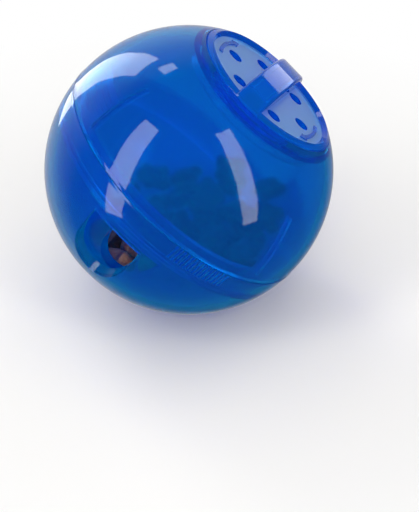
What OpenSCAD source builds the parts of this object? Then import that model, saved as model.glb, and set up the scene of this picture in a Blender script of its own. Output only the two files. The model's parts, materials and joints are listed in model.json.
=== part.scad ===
// Cat treat ball: two moulded halves that twist against each other, a bowl inside that turns with
// the upper half and shutters the outlet of the lower one, a lid with a grip bar, and a fill of treats.

/* [Ball] */
// Outside diameter of the ball
ball_d = 76; // [70:1:84]
// Wall of the two outer halves
shell_t = 2.2; // [1.8:0.1:2.6]
// Gap between the halves at the seam
seam_gap = 0.3; // [0.3:0.1:1]
// Height of the bead that stands out along the seam
bead_h = 0.1; // [0.1:0.05:0.5]
// Width of the bead on each half
bead_w = 1; // [1:0.1:2.4]

/* [Rest pose] */
// Lean of the ball's axis from upright, as the ball lies on the floor
rest_tilt = 40; // [0:1:60]
// Turn of the outlet about the ball's axis, as it lies
rest_spin = -115; // [-180:1:180]

/* [Outlet] */
// Radius of the outlet's round end
outlet_r = 7.8; // [6:0.1:9]
// Distance from the ball's outside to the outlet's centre, square to the axis
outlet_inset = 4.1; // [3:0.1:6]
// Depth of the outlet's straight top edge below the seam
outlet_drop = 9.3; // [9:0.1:12]
// Turn of the bowl's outlet past that of the lower half, which part-closes it
setting = 10; // [0:1:28]

/* [Inner bowl] */
// Wall of the bowl
bowl_t = 1.6; // [1.2:0.1:2]
// Gap between the bowl and the halves around it
bowl_gap = 0.9; // [0.8:0.1:1.4]
// Height of the bowl's plain collar above the seam
collar_h = 1.5; // [1:0.1:2]
// Height of the bowl's two tongues above the seam
tongue_h = 10.5; // [8:0.5:14]
// Width of each tongue around the axis, in degrees
tongue_deg = 80; // [40:1:90]
// Number of grip ribs on each tongue
grip_n = 5; // [3:1:5]
// Height of a grip rib along the axis
grip_w = 0.5; // [0.3:0.1:0.8]
// Distance from one grip rib to the next
grip_pitch = 1.4; // [1.2:0.1:1.6]
// Gap between the grip ribs and the upper half
grip_gap = 0.1; // [0.05:0.05:0.3]
// Height of the key ribs inside the upper half
key_h = 17.5; // [12:0.5:20]
// Width of a key rib around the axis, in degrees
key_deg = 1.8; // [1:0.1:3]
// Depth of a key rib from the upper half's inner wall
key_t = 1.1; // [0.8:0.1:1.6]
// Gap between a key rib and the tongue beside it, in degrees
key_gap = 0.6; // [0.3:0.1:1.5]

/* [Snap ring] */
// Depth of the snap ridge's underside below the seam
snap_drop = 6.2; // [6:0.1:6.4]
// Height of the ridge and of the bead it holds, along the axis
snap_h = 0.8; // [0.5:0.1:0.9]
// Reach of the bead under the ridge
snap_catch = 0.35; // [0.2:0.05:0.5]
// Running gap around the ridge and the bead
snap_gap = 0.35; // [0.3:0.05:0.4]

/* [Click ribs] */
// Number of click ribs
click_n = 14; // [8:1:16]
// Angle from one click rib to the next
click_pitch = 2; // [1.5:0.1:2.4]
// Angle from the outlet's middle to the first click rib
click_start = 21; // [18:1:30]
// Length of a click rib along the axis
click_len = 4.6; // [3:0.1:4.8]
// Width of a click rib around the axis, in degrees
click_w = 0.9; // [0.6:0.1:1.2]
// Height of a click rib from the lower half's inner wall
click_h = 0.3; // [0.2:0.05:0.35]
// Height of the bowl's click nub
nub_h = 0.25; // [0.15:0.05:0.3]

/* [Lid] */
// Diameter of the lid at the ball's outside
lid_d = 41.4; // [38:0.2:42]
// Gap around the lid
lid_gap = 0.3; // [0.2:0.05:0.5]
// Gap between the lid and the seat it lies on
seat_gap = 0.05; // [0.05:0.05:0.2]
// Depth of the pockets' floor below the lid's outer edge
pocket_drop = 0.4; // [0.2:0.1:1]
// Radius of the pockets' floor
pocket_r = 18.4; // [16.5:0.1:18.6]
// Lean of the pockets' wall
pocket_lean = 35; // [10:1:45]
// Wall of the lid
lid_t = 1.6; // [1.2:0.1:2]
// Width of the grip bar
bar_w = 7.6; // [6:0.1:7.8]
// Wall of the hollow grip bar
bar_t = 1.5; // [1.2:0.1:2]
// Rounding of the grip bar's edges
bar_round = 0.8; // [0.4:0.1:1.2]
// Height of the grip bar above the ball's outside
bar_proud = 0.3; // [0:0.1:0.8]
// Turn of the grip bar from the outlet
lid_turn = 0; // [-90:1:90]
// Number of vents
vent_n = 6; // [4:2:6]
// Diameter of a vent
vent_d = 4.2; // [3:0.1:4.4]
// Radius of the circle that the vents lie on
vent_circle = 12.05; // [11.8:0.05:13]

/* [Lid lock] */
// Diameter of the lid's spigot
spigot_d = 35.4; // [34:0.1:35.8]
// Length of the spigot below the lid
spigot_len = 3.4; // [3:0.1:5]
// Gap between the spigot and the neck
spigot_gap = 0.3; // [0.2:0.05:0.4]
// Wall of the neck
neck_t = 2.4; // [2:0.1:2.6]
// Wall of the neck below the lock's channel
neck_lip = 0.7; // [0.5:0.1:1.2]
// Reach of a lug from the spigot
lug_reach = 0.7; // [0.5:0.1:0.9]
// Height of a lug along the axis
lug_h = 1.2; // [0.8:0.1:1.6]
// Width of a lug around the axis, in degrees
lug_deg = 16; // [10:1:20]
// Gap around a lug in its notch and channel
lug_gap = 0.4; // [0.3:0.05:0.5]
// Turn that locks the lid
lock_deg = 40; // [30:1:60]

/* [Turn arrows] */
// Radius of the arrows' middle line
arrow_circle = 16; // [15.6:0.1:16.4]
// Width of an arrow's line
arrow_w = 1; // [0.6:0.1:1.2]
// Length of an arrow around the axis, in degrees
arrow_deg = 42; // [20:1:50]
// Height of the arrows above the pockets' floor
arrow_h = 0.3; // [0.2:0.1:0.5]

/* [Treats] */
// Number of treats in the ball
treat_n = 46; // [10:1:48]
// One treat in this many is a heart
heart_every = 4; // [2:1:8]
// Radius of a star's lobes
star_lobe_r = 2.1; // [1.8:0.1:2.4]
// Distance of the lobes from the star's middle
star_reach = 3; // [2.8:0.1:3.4]
// Thickness of a heart
heart_t = 4.8; // [4:0.1:5.4]
// Radius of a heart's two lobes
heart_lobe_r = 2.6; // [2.2:0.1:2.8]
// Distance of each lobe to the side of the heart's middle
heart_spread = 2.1; // [1.8:0.1:2.4]
// Distance of the lobes above the heart's middle
heart_rise = 1.3; // [1:0.1:1.6]
// Distance of the tip below the heart's middle
heart_drop = 4.6; // [4:0.1:5]
// Radius of the ball that rounds a heart's edges
heart_round = 5.1; // [5:0.1:6]
// Gap between treats, and between a treat and the bowl
treat_gap = 0.15; // [0.1:0.05:0.3]
// Reach of the heap from the bowl's middle, as a share of the bowl's radius
heap_share = 0.78; // [0.55:0.01:0.78]
// Place of the heart that lies behind the outlet, from the ball's centre, to the right
outlet_heart_x = -18; // [-20:0.5:-10]
// Place of that heart, away from the viewer
outlet_heart_y = -18.5; // [-20:0.5:-10]

/* [Hidden] */
$fn = 96;
eps = 0.4;

// Radii of the spheres, from the outside in
ball_r = ball_d / 2;
shell_in = ball_r - shell_t;
bowl_r = shell_in - bowl_gap;
bowl_in = bowl_r - bowl_t;
// Radius of the seam bead's round back, which meets the ball bead_w from the seam
bead_r = 1 / (2 * bead_h / pow(bead_w, 2) + 1 / ball_r);

// Radius at a height on a sphere about the ball's centre
function at(r, z) = sqrt(r * r - z * z);

// Snap ring, as radii of the ridge, the bead under it and the groove around the bead
ridge_top = -(snap_drop - snap_h);
ridge_r = at(bowl_r, ridge_top) + snap_gap;
snap_bead_r = ridge_r + snap_catch;
groove_r = snap_bead_r + snap_gap;
snap_bead_top = -(snap_drop + snap_gap);
snap_bead_low = snap_bead_top - snap_h;
groove_low = snap_bead_low - snap_gap;
click_top = ridge_top + click_len;

// Heights of the lid, its seat and its lock
lid_r = lid_d / 2;
hole_r = lid_r + lid_gap;
pocket_z = at(ball_r, lid_r) - pocket_drop;
lid_low = pocket_z - lid_t;
seat_z = lid_low - seat_gap;
spigot_r = spigot_d / 2;
spigot_low = lid_low - spigot_len;
neck_r = spigot_r + spigot_gap;
lug_r = spigot_r + lug_reach;
lug_turns = [90, 270];
notch_w = 2 * (lug_r * sin(lug_deg / 2) + lug_gap);
channel_r = lug_r + lug_gap;
channel_deg = lock_deg + asin(notch_w / 2 / lug_r);
channel_low = spigot_low - lug_gap;
channel_h = lug_h + 2 * lug_gap;
neck_low = channel_low - neck_lip;
bar_r = ball_r + bar_proud;

// Turns about the ball's axis
tongue_turns = [setting + 90, setting + 270];
vent_step = 360 / vent_n;

// Number of places tried for each treat, and the turn from one to the next that spreads them evenly
drop_n = 30;
drop_step = 137.508;
// Turn and lean from one treat to the next, and the most that one leans
spin_step = 53;
lean_step = 125;
lean_max = 28;
// Turn of a heart's outline, the angle at which its flanks leave the lobes, and the middle of its tip
heart_turn = 75;
flank_deg = 60;
heart_mid = heart_drop / 3;
// Radius of a star's middle, where its bars cross
star_mid_r = 1.25 * star_lobe_r;

// The ball as it lies: its axis leans and its lowest point is the origin
module lying() {
    translate([0, 0, ball_r])
        rotate([0, rest_tilt, 0])
            rotate([0, 0, rest_spin])
                children();
}

// Part of a turned shape, centred on an angle about the axis
module sector(middle, width) {
    rotate([0, 0, middle - width / 2])
        rotate_extrude(angle = width)
            children();
}

// Section of a wall between two spheres, from one height to another
module wall_section(outer, inner, low, high) {
    intersection() {
        difference() {
            circle(outer);
            circle(inner);
        }
        translate([0, low])
            square([outer, high - low]);
    }
}

// Section of a half's wall with the seam bead, from one height to another
module half_section(low, high) {
    intersection() {
        difference() {
            union() {
                circle(ball_r);
                translate([ball_r + bead_h - bead_r, 0])
                    circle(bead_r);
            }
            circle(shell_in);
        }
        translate([0, low])
            square([ball_r + bead_h, high - low]);
    }
}

// Cut for the outlet, with a round end and a straight top edge
module outlet_cut() {
    translate([ball_r - outlet_inset, 0, -ball_r - outlet_drop])
        cylinder(r = outlet_r, h = ball_r);
}

module upper_section() {
    difference() {
        union() {
            half_section(seam_gap / 2, ball_r);
            intersection() {
                circle(ball_r - shell_t / 2);
                translate([neck_r, seat_z - lid_t])
                    square([ball_r - neck_r, lid_t]);
            }
            translate([neck_r, neck_low])
                square([neck_t, seat_z - neck_low]);
        }
        square([neck_r, ball_r + eps]);
        translate([0, seat_z])
            square([hole_r, ball_r]);
    }
}

// Notches that let the lid's lugs down, and the channels they turn into
module lock_channels() {
    for (side = lug_turns) {
        rotate([0, 0, lid_turn + side])
            translate([neck_r - eps, -notch_w / 2, spigot_low])
                cube([channel_r - neck_r + 2 * eps, notch_w, seat_z - spigot_low + eps]);
        sector(lid_turn + side - channel_deg / 2, channel_deg)
            translate([neck_r - eps, channel_low])
                square([channel_r - neck_r + eps, channel_h]);
    }
}

module key_ribs() {
    key_at = (tongue_deg + key_deg) / 2 + key_gap;
    for (turn = tongue_turns, side = [-1, 1])
        sector(turn + side * key_at, key_deg)
            wall_section(shell_in + eps, shell_in - key_t, collar_h + eps, key_h);
}

module upper_shell() {
    color([0.02, 0.25, 0.75, 0.6])
        lying()
            difference() {
                union() {
                    rotate_extrude()
                        upper_section();
                    key_ribs();
                }
                lock_channels();
            }
}

module lower_section() {
    difference() {
        union() {
            half_section(-ball_r, -seam_gap / 2);
            translate([ridge_r, -snap_drop])
                square([at(shell_in, snap_drop) + eps - ridge_r, snap_h]);
        }
        translate([0, groove_low])
            square([groove_r, -snap_drop - groove_low]);
    }
}

module click_ribs() {
    for (i = [0 : click_n - 1])
        sector(click_start + i * click_pitch, click_w)
            wall_section(shell_in + eps, shell_in - click_h, ridge_top - eps, click_top);
}

module lower_shell() {
    color([0.02, 0.25, 0.75, 0.6])
        lying() {
            difference() {
                rotate_extrude()
                    lower_section();
                outlet_cut();
            }
            click_ribs();
        }
}

// Section of the bowl through a tongue, whose grip ribs bear on the upper half
module bowl_section() {
    wall_section(bowl_r, bowl_in, -bowl_r, tongue_h);
    translate([at(bowl_r, snap_bead_low) - eps, snap_bead_low])
        square([snap_bead_r - at(bowl_r, snap_bead_low) + eps, snap_h]);
    for (i = [1 : grip_n]) {
        z = collar_h + i * grip_pitch;
        translate([at(bowl_r, z) - eps, z - grip_w / 2])
            square([at(shell_in - grip_gap, z + grip_w / 2) - at(bowl_r, z) + eps, grip_w]);
    }
}

// Nub that runs along the click ribs, at the bowl's setting
module click_nub() {
    sector(setting + click_start, click_w)
        wall_section(bowl_r + nub_h, bowl_r - eps, ridge_top + eps, click_top - eps);
}

module inner_bowl() {
    color([0.02, 0.2, 0.65, 0.6])
        lying() {
            difference() {
                rotate_extrude()
                    bowl_section();
                rotate([0, 0, setting])
                    outlet_cut();
                for (turn = tongue_turns)
                    sector(turn + 90, 180 - tongue_deg)
                        translate([0, collar_h])
                            square([ball_r, ball_r]);
            }
            click_nub();
        }
}

module lid_section() {
    pocket_rise = ball_r - pocket_z;
    difference() {
        intersection() {
            circle(ball_r);
            translate([0, lid_low])
                square([lid_r, ball_r - lid_low]);
        }
        polygon([
            [0, pocket_z],
            [pocket_r, pocket_z],
            [pocket_r + pocket_rise * tan(pocket_lean), pocket_z + pocket_rise],
            [0, pocket_z + pocket_rise]
        ]);
    }
    translate([spigot_r - lid_t, spigot_low])
        square([lid_t, spigot_len + eps]);
}

// Ring about a level axis, whose top is the arched bar: its radius, width and edge rounding
module bar_ring(r, width, rounding) {
    rotate([90, 0, 0])
        rotate_extrude() {
            translate([lid_low - eps - bar_w, -width / 2])
                square([r - rounding - lid_low + eps + bar_w, width]);
            translate([lid_low - eps - bar_w, rounding - width / 2])
                square([r - lid_low + eps + bar_w, width - 2 * rounding]);
            for (side = [-1, 1])
                translate([r - rounding, side * (width / 2 - rounding)])
                    circle(rounding);
        }
}

module grip_bar() {
    intersection() {
        bar_ring(bar_r, bar_w, bar_round);
        translate([0, 0, lid_low])
            cylinder(r = lid_r, h = ball_r);
    }
}

// Hollow of the bar, open below
module bar_hollow() {
    intersection() {
        bar_ring(bar_r - bar_t, bar_w - 2 * bar_t, bar_round / 2);
        translate([0, 0, lid_low - eps])
            cylinder(r = spigot_r - lid_t - eps, h = ball_r);
    }
}

module vents() {
    for (i = [0 : vent_n - 1])
        rotate([0, 0, (i + 0.5) * vent_step])
            translate([vent_circle, 0, lid_low - eps])
                cylinder(d = vent_d, h = lid_t + 2 * eps);
}

module lugs() {
    for (side = lug_turns)
        sector(side, lug_deg)
            translate([spigot_r - lid_t / 2, spigot_low])
                square([lug_r - spigot_r + lid_t / 2, lug_h]);
}

// Raised arrows that show which way the lid turns
module turn_arrows() {
    head_l = 2 * arrow_w;
    head_w = 2.4 * arrow_w;
    head_in = arrow_w / 4;
    for (side = [90, 270]) {
        sector(side, arrow_deg)
            translate([arrow_circle - arrow_w / 2, pocket_z - eps])
                square([arrow_w, arrow_h + eps]);
        rotate([0, 0, side - arrow_deg / 2])
            translate([arrow_circle, 0, pocket_z - eps])
                linear_extrude(arrow_h + eps)
                    polygon([[-head_w / 2, head_in], [head_w / 2, head_in], [0, -head_l]]);
    }
}

module lid() {
    color([0.05, 0.25, 0.75, 0.7])
        lying()
            rotate([0, 0, lid_turn]) {
                difference() {
                    union() {
                        rotate_extrude()
                            lid_section();
                        grip_bar();
                    }
                    bar_hollow();
                    vents();
                }
                lugs();
                turn_arrows();
            }
}

// A round-ended bar along X, from its middle to the middle of its ends
module round_bar(r, reach) {
    rotate([0, 90, 0])
        rotate_extrude()
            intersection() {
                union() {
                    square([2 * r, 2 * reach], center = true);
                    for (side = [-1, 1])
                        translate([0, side * reach])
                            circle(r);
                }
                translate([0, -reach - r])
                    square([r, 2 * (reach + r)]);
            }
}

// A star is two bars that cross
module star() {
    for (turn = [0, 90])
        rotate([0, 0, turn])
            round_bar(star_lobe_r, star_reach);
}

// A heart is a flat outline of two lobes and a tip, rounded as a ball is
module heart() {
    flank_x = heart_rise - heart_lobe_r * cos(flank_deg);
    flank_y = heart_spread + heart_lobe_r * sin(flank_deg);
    intersection() {
        linear_extrude(heart_t, center = true)
            rotate(heart_turn) {
                for (side = [-1, 1])
                    translate([heart_rise, side * heart_spread])
                        circle(heart_lobe_r);
                polygon([
                    [heart_rise, heart_spread],
                    [heart_rise, -heart_spread],
                    [flank_x, -flank_y],
                    [-heart_drop, 0],
                    [flank_x, flank_y]
                ]);
            }
        sphere(heart_round);
    }
}

// Balls that a treat touches its neighbours with, each given by its place and radius
function heart_ball(x, y, r) = [
    x * cos(heart_turn) - y * sin(heart_turn),
    x * sin(heart_turn) + y * cos(heart_turn),
    norm([r, heart_t / 2])
];
star_balls = [
    [0, 0, star_mid_r],
    for (angle = [0 : 90 : 270]) [star_reach * cos(angle), star_reach * sin(angle), star_lobe_r]
];
heart_balls = [
    heart_ball(-heart_mid, 0, heart_drop - heart_mid),
    for (side = [-1, 1]) heart_ball(heart_rise, side * heart_spread, heart_lobe_r)
];

function is_heart(i) = i % heart_every == 0;
function shape_of(i) = is_heart(i) ? heart_balls : star_balls;

// The first treat is the heart behind the outlet, which lies flat on the bowl's wall; the rest lie anyhow
outlet_heart = [outlet_heart_x, outlet_heart_y];
wall_sag = pow(heart_round, 2) / 2 / bowl_in;
flush_r = bowl_in - treat_gap - heart_t / 2 - wall_sag;
function spin_of(i) = i == 0 ? atan2(-outlet_heart.x, outlet_heart.y) : (i * spin_step) % 360;
function lean_of(i) =
    i == 0 ? asin(norm(outlet_heart) / flush_r) : lean_max * sin(i * lean_step);

// A ball of treat i, turned as the treat lies: its offset and radius
function turned(ball, spin, lean) = [
    ball.x * cos(spin) - ball.y * cos(lean) * sin(spin),
    ball.x * sin(spin) + ball.y * cos(lean) * cos(spin),
    ball.y * sin(lean),
    ball[2]
];
function balls_of(i) = [for (ball = shape_of(i)) turned(ball, spin_of(i), lean_of(i))];

// Places over the bowl where a treat may be dropped, spread evenly from the middle out
drops = [
    for (k = [0 : drop_n - 1])
        heap_share * bowl_in * sqrt(k / drop_n) * [cos(k * drop_step), sin(k * drop_step)]
];

// Height at which treat i, dropped at a place, comes to lie on the bowl or on the balls below it
function bowl_rest(p, ball) =
    -sqrt(pow(bowl_in - treat_gap - ball[3], 2) - pow(p.x + ball.x, 2) - pow(p.y + ball.y, 2)) - ball.z;
function ball_rest(p, ball, other) =
    let (
        reach = ball[3] + other[3] + treat_gap,
        apart = pow(p.x + ball.x - other.x, 2) + pow(p.y + ball.y - other.y, 2)
    )
    apart < reach * reach ? other.z + sqrt(reach * reach - apart) - ball.z : -bowl_in;
function rest_height(p, balls, heap) = max([
    for (ball = balls) each concat([bowl_rest(p, ball)], [for (other = heap) ball_rest(p, ball, other)])
]);

function lowest_place(balls, heap) =
    let (
        choices = [for (p = drops) [p.x, p.y, rest_height(p, balls, heap)]],
        lowest = min([for (c = choices) c.z])
    )
    [for (c = choices) if (c.z == lowest) c][0];

// After the first heart, each treat takes the place where it lies lowest on the heap so far
function fill(i = 0, heap = [], places = []) =
    i == treat_n ? places :
    let (
        balls = balls_of(i),
        place = i == 0 ? concat(outlet_heart, -at(flush_r, norm(outlet_heart))) : lowest_place(balls, heap),
        landed = [for (ball = balls) [ball.x + place.x, ball.y + place.y, ball.z + place.z, ball[3]]]
    )
    fill(i + 1, concat(heap, landed), concat(places, [place]));

module treats(hearts) {
    places = fill();
    for (i = [0 : treat_n - 1])
        if (is_heart(i) == hearts)
            translate(places[i] + [0, 0, ball_r])
                rotate([0, 0, spin_of(i)])
                    rotate([lean_of(i), 0, 0])
                        if (hearts)
                            heart();
                        else
                            star();
}

module star_treats() {
    color([0.55, 0.4, 0.16])
        treats(false);
}

module heart_treats() {
    color([0.6, 0.35, 0.2])
        treats(true);
}

lid();
upper_shell();
lower_shell();
inner_bowl();
star_treats();
heart_treats();
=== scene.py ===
"""Looks of a cat treat ball: clear blue mouldings, baked treats inside, and a pale studio stage."""

import json
import math

import bmesh
import bpy
import numpy as np
from bpy.props import FloatProperty, FloatVectorProperty, IntProperty, PointerProperty
from mathutils import Matrix, Vector, noise


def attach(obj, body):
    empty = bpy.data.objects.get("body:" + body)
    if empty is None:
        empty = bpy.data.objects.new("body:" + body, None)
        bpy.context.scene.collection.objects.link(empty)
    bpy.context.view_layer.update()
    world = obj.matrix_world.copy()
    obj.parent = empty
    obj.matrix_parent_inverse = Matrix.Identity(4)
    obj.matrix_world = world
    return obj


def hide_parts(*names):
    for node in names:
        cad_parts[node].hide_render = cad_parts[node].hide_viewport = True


bl_info = {
    "name": "Treat ball looks",
    "version": (1, 0, 0),
    "blender": (4, 5, 0),
    "location": "View3D > Sidebar > Treat ball",
    "description": "Finishes the mouldings and the treats of a cat treat ball and sets its stage",
    "category": "Object",
}

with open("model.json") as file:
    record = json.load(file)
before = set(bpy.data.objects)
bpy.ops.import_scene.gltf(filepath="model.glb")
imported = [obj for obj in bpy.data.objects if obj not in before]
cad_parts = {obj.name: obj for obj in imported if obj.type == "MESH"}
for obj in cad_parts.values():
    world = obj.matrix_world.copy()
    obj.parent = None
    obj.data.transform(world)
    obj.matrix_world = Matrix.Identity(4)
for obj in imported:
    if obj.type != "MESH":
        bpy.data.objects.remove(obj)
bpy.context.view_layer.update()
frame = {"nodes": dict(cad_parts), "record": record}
joints = frame["record"]["behaviour"]["joints"]
twist = next(joint for joint in joints if joint["name"] == "twist")
BALL_CENTRE = Vector(twist["pos_m"])
AXIS_LEAN = math.atan2(twist["axis"][0], twist["axis"][2])

# Places on the mouldings in metres, as if the axis stood upright: heights above the ball's centre,
# reach of the ribs from the centre and reach of the neck from the axis
POCKET_HEIGHTS = (0.0313, 0.0316)
RIB_HEIGHTS = (-0.0053, -0.0006)
RIB_REACH = (0.03568, 0.03576)
NECK_HEIGHTS = (0.0245, 0.0306)
NECK_REACH = (0.0205, 0.0208)
CRISP_END = 0.0001
SOFT_END = 0.0003

# Marks on clear plastic; a range gives the noise levels between which a mark goes from none to full
PLASTIC_IOR = 1.46
FLOW_RANGE = (0.3, 0.7)
FLOW_SHADES = (0.93, 1.05)
PEEL_DEPTH = 0.006
RUB_TURN = (0.4, 0.7, 0.2)
RUB_STRETCH = (90, 90, 1400)
RUB_RANGE = (0.62, 0.74)
RUB_ROUGHNESS = 0.1
FROST_SCALE = 3500.0
FROST_DEPTH = 0.08
# Lamplight is followed into the ball through two walls, which have four faces
WALL_FACES_LIT = 3.5

# Baked crust: fineness of its pits and grain beside that of its patches, and its dark specks
PIT_FINENESS = 2.6
PIT_DEPTH = 0.7
GRAIN_FINENESS = 5
TOAST_RANGE = (0.32, 0.68)
SPECK_RANGE = (0.56, 0.72)
SPECK_COVER = 0.55
SPECK_SHADE = 0.5
CRUST_ROUGHNESS = (0.62, 0.85)
STAR_CRUMB = 420
HEART_CRUMB = 380
BUMP_HEIGHT = 0.0004

# A star's middle block as a share of its reach, and the scale of the end of each lobe
STAR_CORE = 0.42
LOBE_END = (1.05, 1.05, 0.9)
# A form shrinks as it is rounded, so it starts larger by these factors
STAR_SWELL = 1.12
LOBE_SWELL = 1.1
HEART_SWELL = 1.15
# Where the nine points of a plate go to make a heart with its tip towards -X, in metres
HEART_OUTLINE = {
    (1, 0): (0.0010, 0), (1, 1): (0.0053, 0.0034), (1, -1): (0.0053, -0.0034),
    (0, 1): (0.0008, 0.0056), (0, -1): (0.0008, -0.0056), (0, 0): (0.0004, 0),
    (-1, 0): (-0.0056, 0), (-1, 1): (-0.0030, 0.0030), (-1, -1): (-0.0030, -0.0030),
}
# Length of the end of a heart whose width is measured to find the tip
HEART_TIP = 0.001
CENTRING_ROUNDS = 3
# Lumps of a treat: their fineness, how far their pattern shifts from treat to treat, the values of
# their noise and the mean depth as a share of the whole
LUMP_SCALE = 420
LUMP_SHIFT = 40
LUMP_NOISE = (0.9, 2.1, 3)
LUMP_MEAN = 0.5

FLOOR_HALF = 6
FLOOR_SHADES = (0.995, 1.005)
FLOOR_FADE = (0.05, 0.16)
FLOOR_THROUGH = 0.55
# Way to the bright back of the room, and how nearly a ray goes that way as the brightness grows
BRIGHT_WAY = (-0.3, 0.95, 0)
BRIGHT_FADE = (0.4, 0.9)
WHITE = (1, 1, 1, 1)
LAMP_TINT = (1, 0.98, 0.94)
# Name, heading and height in degrees, distance from the ball, width and length in metres,
# brightness, and whether gloss mirrors it
LAMPS = (
    ("left_strip", -56, 22, 0.9, (0.27, 1.25), 4, True),
    ("right_strip", 44.5, 19, 0.9, (0.22, 1.26), 4, True),
    ("back_strip", -146, 18, 0.9, (0.3, 1.0), 3.7, True),
    ("spot", -156, 60, 0.9, (0.14, 0.14), 3.7, True),
    ("rear_box", 138, 17, 0.9, (0.42, 0.4), 2.4, True),
    ("top_box", 0, 85, 1.2, (1.2, 1.2), 1.3, False),
    ("front_fill", -4, 30, 1.0, (0.4, 0.4), 5.6, False),
)


def colour(label, words, default):
    """A colour that a user may change."""
    return FloatVectorProperty(name=label, description=words, default=default,
                               subtype="COLOR", size=3, min=0, max=1)


def length(label, words, default):
    """A length that a user may change, in metres."""
    return FloatProperty(name=label, description=words, default=default,
                         min=0, unit="LENGTH", precision=5)


def share(label, words, default):
    """A number from 0 to 1 that a user may change."""
    return FloatProperty(name=label, description=words, default=default,
                         min=0, max=1, subtype="FACTOR")


def angle(label, words, default):
    """An angle that a user may change, given here in degrees."""
    return FloatProperty(name=label, description=words, default=math.radians(default),
                         subtype="ANGLE")


class PlasticSettings(bpy.types.PropertyGroup):
    """Finish of the clear mouldings."""

    shell_tint: colour("Shell tint", "Colour of the two outer halves", (0.0, 0.16, 1.0))
    bowl_tint: colour("Bowl tint", "Colour of the bowl inside", (0.0, 0.16, 1.0))
    lid_tint: colour("Lid tint", "Colour of the lid", (0.0, 0.2, 0.75))
    through: colour("Through tint", "Tint of light that leaves the halves and the bowl",
                    (0.0, 1.0, 0.65))
    clear: share("Clearness", "How much of the light passes the halves and the bowl", 0.87)
    lid_clear: share("Lid clearness", "How much of the light passes the milkier lid", 0.65)
    gloss: share("Roughness", "Roughness of a polished face", 0.04)
    inner_gloss: share("Inner roughness", "Roughness of a face seen from within the wall", 0.14)
    frost: share("Frost", "Roughness of the lid's pockets and of the click ribs", 0.42)
    # The pockets' paler colour is frosted plastic and partly a painted reflection of the bright
    # room
    pocket_frost_and_reflection_tint: colour("Pocket tint and reflection", "Colour of the frosted pockets, paler partly as a painted reflection", (0.08, 0.4, 0.68))
    # The ribs' white is a painted highlight, standing for the light they catch
    rib_highlight_tint: colour("Rib highlight", "Painted highlight on the click ribs", (1.0, 1.0, 1.0))
    # The neck's paler colour is painted light over the shade that falls on it
    neck_painted_light: colour("Neck painted light", "Paler colour painted on the thin neck under the lid as light", (0.3, 1.0, 0.8))
    shade: colour("Shade", "Light that passes one face of a wall into the ball", (0.05, 0.11, 0.9))


class TreatSettings(bpy.types.PropertyGroup):
    """Shape and colours of the treats."""

    star_light: colour("Star, light", "Lighter baked colour of a star", (0.40, 0.17, 0.045))
    star_dark: colour("Star, dark", "Darker baked colour of a star", (0.20, 0.075, 0.016))
    heart_light: colour("Heart, light", "Lighter baked colour of a heart", (0.68, 0.33, 0.13))
    heart_dark: colour("Heart, dark", "Darker baked colour of a heart", (0.4, 0.16, 0.05))
    star_reach: length("Star reach", "Distance from a star's middle to the end of a lobe", 0.0051)
    star_half: length("Star half thickness", "Half the thickness of a star", 0.0021)
    heart_half: length("Heart half thickness", "Half the thickness of a heart", 0.0024)
    lump: length("Lumps", "Depth of the lumps baked into a treat", 0.00035)
    cuts: IntProperty(name="Cuts", description="Rounds of smooth cuts that round a treat",
                      default=3, min=1, max=4)


class StageSettings(bpy.types.PropertyGroup):
    """Camera, room light and floor."""

    floor_tint: colour("Floor", "Colour of the floor", (0.9, 0.9, 0.9))
    mirrored: share("Mirrored front", "Level of the room's front that gloss shows", 0.05)
    sweep: share("Mirrored back", "Level of the bright back of the room that gloss shows", 0.65)
    ambient: share("Room light", "Level of the light from all round", 0.19)
    view_height: angle("View height", "Angle of the camera above the ball's level", 31.8)
    view_reach: length("View distance", "Distance of the camera from the ball's centre", 0.38)
    view_pan: angle("View pan", "Turn of the camera that sets the ball left of the middle", -0.8133)
    view_tilt: angle("View tilt", "Tilt of the camera that sets the ball above the middle", -3.404)
    lens: FloatProperty(name="Lens", description="Focal length of the camera in millimetres",
                        default=101, min=10, unit="CAMERA")


def new_tree(name):
    """A new material and its node tree, empty."""
    material = bpy.data.materials.new(name)
    material.use_nodes = True
    material.node_tree.nodes.clear()
    return material, material.node_tree


def feed(tree, socket, value):
    """Sets an input of a node, or links it where the value is an output."""
    if isinstance(value, bpy.types.NodeSocket):
        tree.links.new(value, socket)
    else:
        socket.default_value = value


def put(tree, kind, **sockets):
    """A node with some of its inputs set or linked; a socket's name has _ for a space."""
    node = tree.nodes.new(kind)
    for name, value in sockets.items():
        feed(tree, node.inputs[name.replace("_", " ")], value)
    return node


def object_place(tree):
    """Place on the piece, in its object's coordinates."""
    return tree.nodes.new("ShaderNodeTexCoord").outputs["Object"]


def cloudy(tree, place, scale, detail=2.0, **sockets):
    """Level of a noise pattern, finer as its scale grows."""
    node = put(tree, "ShaderNodeTexNoise", Vector=place, Scale=scale, Detail=detail, **sockets)
    return node.outputs[0]


def spread(tree, value, low, high, start=0.0, end=1.0):
    """A value that goes from low to high as another goes from start to end."""
    node = put(tree, "ShaderNodeMapRange", Value=value, From_Min=start, From_Max=end,
               To_Min=low, To_Max=high)
    return node.outputs["Result"]


def mixed(tree, factor, first, second):
    """A colour between two, by a factor."""
    node = tree.nodes.new("ShaderNodeMix")
    node.data_type = "RGBA"
    feed(tree, node.inputs["Factor"], factor)
    for socket, value in ((node.inputs[6], first), (node.inputs[7], second)):
        feed(tree, socket, value if isinstance(value, bpy.types.NodeSocket) else (*value, 1))
    return node.outputs[2]


def math_of(tree, operation, first, second):
    """The result of a two-number operation."""
    node = tree.nodes.new("ShaderNodeMath")
    node.operation = operation
    feed(tree, node.inputs[0], first)
    feed(tree, node.inputs[1], second)
    return node.outputs[0]


def arrow_value(tree, operation, arrow, other=(0, 0, 0)):
    """A number that is worked out from an arrow, such as its length."""
    node = tree.nodes.new("ShaderNodeVectorMath")
    node.operation = operation
    feed(tree, node.inputs[0], arrow)
    feed(tree, node.inputs[1], other)
    return node.outputs["Value"]


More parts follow.
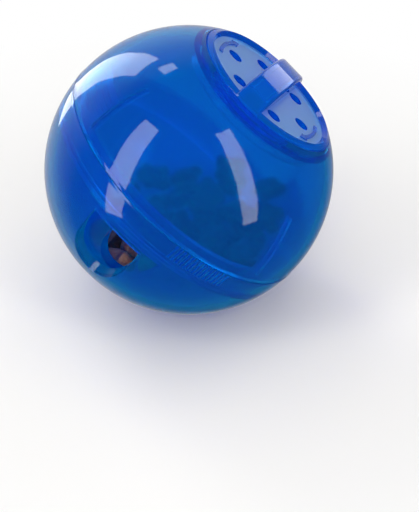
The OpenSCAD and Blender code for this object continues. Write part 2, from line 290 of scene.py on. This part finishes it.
def new_group(name, inputs, outputs):
    """A shader node group with number inputs and outputs, and its two end nodes."""
    tree = bpy.data.node_groups.new(name, "ShaderNodeTree")
    for label, default in inputs:
        socket = tree.interface.new_socket(label, in_out="INPUT", socket_type="NodeSocketFloat")
        socket.default_value = default
    for label in outputs:
        tree.interface.new_socket(label, in_out="OUTPUT", socket_type="NodeSocketFloat")
    return tree, tree.nodes.new("NodeGroupInput"), tree.nodes.new("NodeGroupOutput")


def mould_marks():
    """Group of the marks that moulding and use leave on clear plastic."""
    if "mould_marks" in bpy.data.node_groups:
        return bpy.data.node_groups["mould_marks"]
    inputs = [("Flow Scale", 60), ("Peel Scale", 700)]
    tree, start, end = new_group("mould_marks", inputs, ["Flow", "Waves", "Rubs"])
    place = object_place(tree)
    flow = cloudy(tree, place, start.outputs["Flow Scale"])
    peel = cloudy(tree, place, start.outputs["Peel Scale"], 1.0)
    peel = math_of(tree, "MULTIPLY", peel, PEEL_DEPTH)
    drawn = put(tree, "ShaderNodeMapping", Vector=place, Rotation=RUB_TURN, Scale=RUB_STRETCH)
    rubs = cloudy(tree, drawn.outputs[0], 1.0, 3.0)
    feed(tree, end.inputs["Flow"], spread(tree, flow, 0, 1, *FLOW_RANGE))
    feed(tree, end.inputs["Waves"], math_of(tree, "ADD", flow, peel))
    feed(tree, end.inputs["Rubs"], spread(tree, rubs, 0, 1, *RUB_RANGE))
    return tree


def baked_crumb():
    """Group of the grain, the pits and the toasted patches of a baked crust."""
    if "baked_crumb" in bpy.data.node_groups:
        return bpy.data.node_groups["baked_crumb"]
    tree, start, end = new_group("baked_crumb", [("Scale", 500)], ["Toast", "Specks", "Height"])
    place = object_place(tree)
    scale = start.outputs["Scale"]
    pit_scale = math_of(tree, "MULTIPLY", scale, PIT_FINENESS)
    grain_scale = math_of(tree, "MULTIPLY", scale, GRAIN_FINENESS)
    toast = cloudy(tree, place, scale, 6.0, Roughness=0.65)
    grain = cloudy(tree, place, grain_scale, 4.0)
    pits = put(tree, "ShaderNodeTexVoronoi", Vector=place, Scale=pit_scale)
    pits = math_of(tree, "MULTIPLY", pits.outputs["Distance"], PIT_DEPTH)
    feed(tree, end.inputs["Toast"], spread(tree, toast, 0, 1, *TOAST_RANGE))
    feed(tree, end.inputs["Specks"], spread(tree, grain, 0, 1, *SPECK_RANGE))
    feed(tree, end.inputs["Height"], math_of(tree, "ADD", pits, grain))
    return tree


def placed(tree, group):
    """A shared effect, placed in a material."""
    node = tree.nodes.new("ShaderNodeGroup")
    node.node_tree = group
    return node


def tinted(tint, factor):
    """A colour made lighter or darker."""
    return tuple(min(1.0, channel * factor) for channel in tint)


def join_shaders(tree, factor, first, second, end_kind="ShaderNodeOutputMaterial"):
    """Joins two shaders by a factor and makes them the surface."""
    both = put(tree, "ShaderNodeMixShader", Fac=factor)
    tree.links.new(first.outputs[0], both.inputs[1])
    tree.links.new(second.outputs[0], both.inputs[2])
    put(tree, end_kind, Surface=both.outputs[0])


def clear_plastic(name, tint, through, clear, settings,
                  painted_and_frosted_places=None, pale=(1, 1, 1), frost=0.0):
    """Clear moulded plastic, rougher in the places that a mask gives and painted paler there as
    light.
    """
    material, tree = new_tree(name)
    marks = placed(tree, mould_marks())
    rough = spread(tree, marks.outputs["Rubs"], settings.gloss, settings.gloss + RUB_ROUGHNESS)
    base = mixed(tree, marks.outputs["Flow"], *(tinted(tint, factor) for factor in FLOW_SHADES))
    behind = tree.nodes.new("ShaderNodeNewGeometry").outputs["Backfacing"]
    base = mixed(tree, behind, base, through)
    inner = math_of(tree, "MULTIPLY", behind, settings.inner_gloss)
    rough = math_of(tree, "MAXIMUM", rough, inner)
    height = marks.outputs["Waves"]
    if painted_and_frosted_places:
        mask = painted_and_frosted_places(tree)
        # Painted light: rib highlight, lifted shade on the neck, part of the pockets' reflection
        base = mixed(tree, mask, base, pale)
        rough = math_of(tree, "MAXIMUM", rough, math_of(tree, "MULTIPLY", mask, frost))
        grain = cloudy(tree, object_place(tree), FROST_SCALE)
        grain = math_of(tree, "MULTIPLY", grain, FROST_DEPTH)
        height = math_of(tree, "ADD", height, math_of(tree, "MULTIPLY", grain, mask))
    bump = put(tree, "ShaderNodeBump", Height=height, Strength=0.5, Distance=BUMP_HEIGHT)
    body = put(tree, "ShaderNodeBsdfPrincipled", Base_Color=base, Roughness=rough,
               Normal=bump.outputs[0], IOR=PLASTIC_IOR, Transmission_Weight=clear)
    rays = tree.nodes.new("ShaderNodeLightPath")
    deep = math_of(tree, "GREATER_THAN", rays.outputs["Transparent Depth"], WALL_FACES_LIT)
    passed = mixed(tree, deep, settings.shade, (0, 0, 0))
    shade = put(tree, "ShaderNodeBsdfTransparent", Color=passed)
    join_shaders(tree, rays.outputs["Is Shadow Ray"], body, shade)
    return material


def upright(tree):
    """Place on the ball from its centre, as if its axis stood upright, and its three parts."""
    turned = put(tree, "ShaderNodeMapping", Vector=object_place(tree), Location=BALL_CENTRE,
                 Rotation=(0, AXIS_LEAN, 0))
    turned.vector_type = "TEXTURE"
    return turned.outputs[0], put(tree, "ShaderNodeSeparateXYZ", Vector=turned.outputs[0]).outputs


def between(tree, value, low, high, soft):
    """1 where a value lies between two others, 0 elsewhere, with soft ends."""
    above = spread(tree, value, 0, 1, low, low + soft)
    below = spread(tree, value, 1, 0, high - soft, high)
    return math_of(tree, "MULTIPLY", above, below)


def pocket_frost_and_reflection_mask(tree):
    """1 on the frosted floor of the lid's pockets, paler partly as a painted reflection, 0
    elsewhere.
    """
    _, parts = upright(tree)
    return between(tree, parts["Z"], *POCKET_HEIGHTS, CRISP_END)


def rib_frost_and_highlight_mask(tree):
    """1 on the click ribs inside the lower half, which get a painted highlight, 0 elsewhere."""
    place, parts = upright(tree)
    inside = spread(tree, arrow_value(tree, "LENGTH", place), 1, 0, *RIB_REACH)
    return math_of(tree, "MULTIPLY", inside, between(tree, parts["Z"], *RIB_HEIGHTS, CRISP_END))


def neck_painted_light_mask(tree):
    """1 on the neck that holds the lid's spigot, where light is painted over its shade, 0
    elsewhere.
    """
    _, parts = upright(tree)
    across = put(tree, "ShaderNodeCombineXYZ", X=parts["X"], Y=parts["Y"])
    inside = spread(tree, arrow_value(tree, "LENGTH", across.outputs[0]), 1, 0, *NECK_REACH)
    return math_of(tree, "MULTIPLY", inside, between(tree, parts["Z"], *NECK_HEIGHTS, SOFT_END))


def baked_crust(name, light, dark, scale):
    """Baked crust of a treat."""
    material, tree = new_tree(name)
    crumb = placed(tree, baked_crumb())
    crumb.inputs["Scale"].default_value = scale
    toast = crumb.outputs["Toast"]
    specks = math_of(tree, "MULTIPLY", crumb.outputs["Specks"], SPECK_COVER)
    base = mixed(tree, specks, mixed(tree, toast, dark, light), tinted(dark, SPECK_SHADE))
    bump = put(tree, "ShaderNodeBump", Height=crumb.outputs["Height"], Strength=0.8,
               Distance=BUMP_HEIGHT)
    body = put(tree, "ShaderNodeBsdfPrincipled", Base_Color=base, Normal=bump.outputs[0],
               Roughness=spread(tree, toast, *CRUST_ROUGHNESS))
    put(tree, "ShaderNodeOutputMaterial", Surface=body.outputs[0])
    return material


def dress(node_name, material):
    """Gives a moulding of the frame its finish."""
    mesh = frame["nodes"][node_name].data
    mesh.materials.clear()
    mesh.materials.append(material)


class TREATBALL_OT_shells(bpy.types.Operator):
    """Finishes the two outer halves in clear blue plastic"""

    bl_idname = "treatball.shells"
    bl_label = "Finish the halves"

    def execute(self, context):
        look = context.scene.treatball_plastic
        # The upper half's neck gets painted light over its shade
        dress("upper_shell", clear_plastic("clear_blue_upper", look.shell_tint, look.through,
                                           look.clear, look, neck_painted_light_mask, look.neck_painted_light))
        # The lower half's click ribs get a painted highlight
        dress("lower_shell", clear_plastic("clear_blue_lower", look.shell_tint, look.through,
                                           look.clear, look, rib_frost_and_highlight_mask, look.rib_highlight_tint, look.frost))
        return {"FINISHED"}


class TREATBALL_OT_bowl(bpy.types.Operator):
    """Finishes the bowl that shutters the outlet"""

    bl_idname = "treatball.bowl"
    bl_label = "Finish the bowl"

    def execute(self, context):
        look = context.scene.treatball_plastic
        dress("inner_bowl", clear_plastic("clear_blue_bowl", look.bowl_tint, look.through,
                                          look.clear, look))
        return {"FINISHED"}


class TREATBALL_OT_lid(bpy.types.Operator):
    """Finishes the lid, whose pockets have a frosted floor, paler partly as a painted reflection"""

    bl_idname = "treatball.lid"
    bl_label = "Finish the lid"

    def execute(self, context):
        look = context.scene.treatball_plastic
        dress("lid", clear_plastic("clear_blue_lid", look.lid_tint, look.lid_tint,
                                   look.lid_clear, look, pocket_frost_and_reflection_mask, look.pocket_frost_and_reflection_tint, look.frost))
        return {"FINISHED"}


def solids_of(node_name):
    """Points of each separate solid of a node, as arrays."""
    mesh = bmesh.new()
    mesh.from_mesh(frame["nodes"][node_name].data)
    bmesh.ops.remove_doubles(mesh, verts=mesh.verts, dist=1e-6)
    seen, solids = set(), []
    for first in mesh.verts:
        if first in seen:
            continue
        group, todo = [], [first]
        seen.add(first)
        while todo:
            vert = todo.pop()
            group.append(vert.co[:])
            for edge in vert.link_edges:
                other = edge.other_vert(vert)
                if other not in seen:
                    seen.add(other)
                    todo.append(other)
        solids.append(np.array(group))
    mesh.free()
    return solids


def flat_axes(points):
    """Middle of a flat solid, and its axes from the longest to the thinnest."""
    middle = (points.min(0) + points.max(0)) / 2
    axes = np.linalg.svd(points - points.mean(0), full_matrices=False)[2]
    for _ in range(CENTRING_ROUNDS):
        reach = (points - middle) @ axes.T
        middle = middle + axes.T @ ((reach.min(0) + reach.max(0)) / 2)
    return middle, axes


def seat(middle, forward, normal):
    """Matrix that lays a treat at a place, by its forward and its thin direction."""
    side = np.cross(normal, forward)
    turn = Matrix((forward, side, normal)).transposed().to_4x4()
    return Matrix.Translation(middle) @ turn


def star_seat(points):
    """Where a star lies: its first lobe points to the furthest point."""
    middle, axes = flat_axes(points)
    normal = axes[2]
    arm = points - middle
    arm = arm[np.argmax(np.linalg.norm(arm, axis=1))]
    arm = arm - normal * (arm @ normal)
    return seat(middle, arm / np.linalg.norm(arm), normal)


def heart_seat(points):
    """Where a heart lies: its tip is the end where its outline is narrowest."""
    middle, axes = flat_axes(points)
    best = None
    for main, across in ((axes[0], axes[1]), (axes[1], axes[0])):
        for sign in (1, -1):
            along = (points - middle) @ (sign * main)
            end = points[along > along.max() - HEART_TIP]
            width = np.ptp(end @ across)
            if best is None or width < best[0]:
                best = (width, -sign * main)
    return seat(middle, best[1], axes[2])


def star_form(settings):
    """A star at the origin: a block with a lobe drawn out of each side."""
    mesh = bmesh.new()
    core = settings.star_reach * STAR_CORE
    bmesh.ops.create_cube(mesh, size=2 * core)
    bmesh.ops.scale(mesh, verts=mesh.verts, vec=(1, 1, settings.star_half * STAR_SWELL / core))
    sides = [face for face in mesh.faces if abs(face.normal.z) < 0.5]
    lobe = settings.star_reach * LOBE_SWELL - core
    for face in sides:
        out = face.normal.copy()
        drawn = bmesh.ops.extrude_discrete_faces(mesh, faces=[face])["faces"][0]
        bmesh.ops.translate(mesh, verts=drawn.verts, vec=out * lobe)
        bmesh.ops.scale(mesh, verts=drawn.verts, vec=LOBE_END,
                        space=Matrix.Translation(-drawn.calc_center_median()))
    return mesh


def heart_form(settings):
    """A heart at the origin: a plate drawn to its outline and raised to its thickness."""
    mesh = bmesh.new()
    bmesh.ops.create_grid(mesh, x_segments=2, y_segments=2, size=1)
    for vert in mesh.verts:
        vert.co.xy = HEART_OUTLINE[round(vert.co.x), round(vert.co.y)]
    half = HEART_SWELL * settings.heart_half
    raised = bmesh.ops.extrude_face_region(mesh, geom=mesh.faces[:])["geom"]
    top = [item for item in raised if isinstance(item, bmesh.types.BMVert)]
    bmesh.ops.translate(mesh, verts=top, vec=(0, 0, 2 * half))
    bmesh.ops.translate(mesh, verts=mesh.verts, vec=(0, 0, -half))
    bmesh.ops.recalc_face_normals(mesh, faces=mesh.faces)
    return mesh


def rounded(mesh, cuts):
    """Cuts a treat's form smoothly, as a subdivision surface does."""
    blank = bpy.data.meshes.new("treat_blank")
    mesh.to_mesh(blank)
    mesh.free()
    holder = bpy.data.objects.new("treat_blank", blank)
    bpy.context.scene.collection.objects.link(holder)
    smooth = holder.modifiers.new("round", "SUBSURF")
    smooth.levels = smooth.render_levels = cuts
    finished = holder.evaluated_get(bpy.context.evaluated_depsgraph_get())
    shape = bpy.data.meshes.new_from_object(finished)
    bpy.data.objects.remove(holder)
    bpy.data.meshes.remove(blank)
    return shape


def treat_group(name, form, seats, settings, material):
    """One piece of all treats of a kind, each lumpy in its own way."""
    shape = rounded(form, settings.cuts)
    whole = bmesh.new()
    for place in seats:
        start = len(whole.verts)
        whole.from_mesh(shape)
        whole.verts.ensure_lookup_table()
        whole.normal_update()
        fresh = whole.verts[start:]
        shift = place.translation * LUMP_SHIFT
        for vert in fresh:
            depth = noise.fractal(vert.co * LUMP_SCALE + shift, *LUMP_NOISE)
            vert.co -= vert.normal * settings.lump * (LUMP_MEAN + depth)
        bmesh.ops.transform(whole, matrix=place, verts=fresh)
    for face in whole.faces:
        face.smooth = True
    mesh = bpy.data.meshes.new(name)
    whole.to_mesh(mesh)
    whole.free()
    bpy.data.meshes.remove(shape)
    mesh.materials.append(material)
    piece = bpy.data.objects.new(name, mesh)
    bpy.context.scene.collection.objects.link(piece)
    return piece


class TREATBALL_OT_stars(bpy.types.Operator):
    """Bakes the star treats where the frame has them"""

    bl_idname = "treatball.stars"
    bl_label = "Bake the stars"

    def execute(self, context):
        settings = context.scene.treatball_treats
        crust = baked_crust("star_crust", settings.star_light, settings.star_dark, STAR_CRUMB)
        seats = [star_seat(points) for points in solids_of("star_treats")]
        piece = treat_group("baked_stars", star_form(settings), seats, settings, crust)
        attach(piece, "upper_half")
        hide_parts("star_treats")
        return {"FINISHED"}


class TREATBALL_OT_hearts(bpy.types.Operator):
    """Bakes the heart treats where the frame has them"""

    bl_idname = "treatball.hearts"
    bl_label = "Bake the hearts"

    def execute(self, context):
        settings = context.scene.treatball_treats
        crust = baked_crust("heart_crust", settings.heart_light, settings.heart_dark, HEART_CRUMB)
        seats = [heart_seat(points) for points in solids_of("heart_treats")]
        piece = treat_group("baked_hearts", heart_form(settings), seats, settings, crust)
        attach(piece, "upper_half")
        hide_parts("heart_treats")
        return {"FINISHED"}


def hang_lamp(name, heading, height, reach, size, level, mirrored):
    """A soft box that faces the ball."""
    lamp = bpy.data.lights.new(name, "AREA")
    lamp.shape = "RECTANGLE"
    lamp.size, lamp.size_y = size
    lamp.energy = level * math.pi * size[0] * size[1]
    lamp.color = LAMP_TINT
    turn, rise = math.radians(heading), math.radians(height)
    out = Vector((math.sin(turn) * math.cos(rise), -math.cos(turn) * math.cos(rise),
                  math.sin(rise)))
    holder = bpy.data.objects.new(name, lamp)
    holder.location = BALL_CENTRE + out * reach
    holder.rotation_euler = out.to_track_quat("Z", "Y").to_euler()
    holder.visible_glossy = holder.visible_transmission = mirrored
    holder.visible_camera = False
    bpy.context.scene.collection.objects.link(holder)


def seen_through(tree, rays):
    """1 for what is seen straight through clear plastic, 0 for the rest."""
    straight = math_of(tree, "LESS_THAN", rays.outputs["Diffuse Depth"], 0.5)
    return math_of(tree, "MULTIPLY", rays.outputs["Is Transmission Ray"], straight)


def lay_floor(tint):
    """Wide pale floor under the ball, which fades to white away from it."""
    mesh = bmesh.new()
    bmesh.ops.create_grid(mesh, x_segments=4, y_segments=4, size=FLOOR_HALF)
    data = bpy.data.meshes.new("floor")
    mesh.to_mesh(data)
    mesh.free()
    material, tree = new_tree("pale_floor")
    place = object_place(tree)
    haze = cloudy(tree, place, 3.0)
    base = mixed(tree, haze, *(tinted(tint, factor) for factor in FLOOR_SHADES))
    body = put(tree, "ShaderNodeBsdfPrincipled", Base_Color=base, Roughness=0.7,
               Specular_IOR_Level=0.2)
    rays = tree.nodes.new("ShaderNodeLightPath")
    camera = rays.outputs["Is Camera Ray"]
    far = spread(tree, arrow_value(tree, "LENGTH", place), 0, 1, *FLOOR_FADE)
    far = math_of(tree, "MULTIPLY", camera, far)
    level = spread(tree, camera, FLOOR_THROUGH, 1)
    white = put(tree, "ShaderNodeEmission", Color=WHITE, Strength=level)
    join_shaders(tree, math_of(tree, "MAXIMUM", seen_through(tree, rays), far), body, white)
    data.materials.append(material)
    floor = bpy.data.objects.new("floor", data)
    floor.visible_glossy = False
    bpy.context.scene.collection.objects.link(floor)


def light_room(ambient, mirrored, sweep):
    """Room light from all round, white to the camera; gloss shows a dim front and a bright back."""
    world = bpy.data.worlds.new("studio")
    world.use_nodes = True
    tree = world.node_tree
    tree.nodes.clear()
    rays = tree.nodes.new("ShaderNodeLightPath")
    way = tree.nodes.new("ShaderNodeTexCoord").outputs["Generated"]
    nearness = arrow_value(tree, "DOT_PRODUCT", way, BRIGHT_WAY)
    shown = spread(tree, nearness, mirrored, sweep, *BRIGHT_FADE)
    gloss = rays.outputs["Is Glossy Ray"]
    shown = math_of(tree, "MULTIPLY", gloss, shown)
    level = math_of(tree, "ADD", spread(tree, gloss, ambient, 0), shown)
    room = put(tree, "ShaderNodeBackground", Color=WHITE, Strength=level)
    white = put(tree, "ShaderNodeBackground", Color=WHITE, Strength=1.0)
    seen = math_of(tree, "MAXIMUM", rays.outputs["Is Camera Ray"], seen_through(tree, rays))
    join_shaders(tree, seen, room, white, "ShaderNodeOutputWorld")
    bpy.context.scene.world = world


def place_camera(settings):
    """Camera at the viewing angle, turned so that the ball sits up and left in the picture."""
    data = bpy.data.cameras.new("camera")
    data.lens = settings.lens
    data.clip_start = 0.01
    camera = bpy.data.objects.new("camera", data)
    rise = settings.view_height
    back = Vector((0, -math.cos(rise), math.sin(rise)))
    stand = Matrix.Translation(BALL_CENTRE + back * settings.view_reach)
    facing = Matrix.Rotation(math.pi / 2 - rise, 4, "X")
    pan = Matrix.Rotation(settings.view_pan, 4, "Y")
    tilt = Matrix.Rotation(settings.view_tilt, 4, "X")
    camera.matrix_world = stand @ facing @ (pan @ tilt)
    bpy.context.scene.collection.objects.link(camera)
    bpy.context.scene.camera = camera


class TREATBALL_OT_stage(bpy.types.Operator):
    """Sets the floor, the lamps, the room light and the camera"""

    bl_idname = "treatball.stage"
    bl_label = "Set the stage"

    def execute(self, context):
        settings = context.scene.treatball_stage
        lay_floor(settings.floor_tint)
        light_room(settings.ambient, settings.mirrored, settings.sweep)
        for lamp in LAMPS:
            hang_lamp(*lamp)
        place_camera(settings)
        context.scene.view_settings.view_transform = "Standard"
        return {"FINISHED"}


OPERATORS = (TREATBALL_OT_shells, TREATBALL_OT_bowl, TREATBALL_OT_lid, TREATBALL_OT_stars,
             TREATBALL_OT_hearts, TREATBALL_OT_stage)
SETTINGS = {
    "treatball_plastic": PlasticSettings,
    "treatball_treats": TreatSettings,
    "treatball_stage": StageSettings,
}


class TREATBALL_PT_panel(bpy.types.Panel):
    """Steps that finish the treat ball, and their sizes and colours"""

    bl_idname = "TREATBALL_PT_panel"
    bl_label = "Treat ball"
    bl_space_type = "VIEW_3D"
    bl_region_type = "UI"
    bl_category = "Treat ball"

    def draw(self, context):
        for operator in OPERATORS:
            self.layout.operator(operator.bl_idname)
        for name in SETTINGS:
            box = self.layout.box()
            values = getattr(context.scene, name)
            for field in values.bl_rna.properties.keys():
                if field not in {"rna_type", "name"}:
                    box.prop(values, field)


def register():
    """Adds the settings, the operators and the panel."""
    for name, group in SETTINGS.items():
        bpy.utils.register_class(group)
        setattr(bpy.types.Scene, name, PointerProperty(type=group))
    for item in (*OPERATORS, TREATBALL_PT_panel):
        bpy.utils.register_class(item)


def unregister():
    """Takes them away again."""
    for item in (TREATBALL_PT_panel, *reversed(OPERATORS)):
        bpy.utils.unregister_class(item)
    for name, group in SETTINGS.items():
        delattr(bpy.types.Scene, name)
        bpy.utils.unregister_class(group)


def main():
    """Builds the whole scene."""
    register()
    bpy.ops.treatball.shells()
    bpy.ops.treatball.bowl()
    bpy.ops.treatball.lid()
    bpy.ops.treatball.stars()
    bpy.ops.treatball.hearts()
    bpy.ops.treatball.stage()
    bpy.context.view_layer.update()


if __name__ == "__main__":
    main()
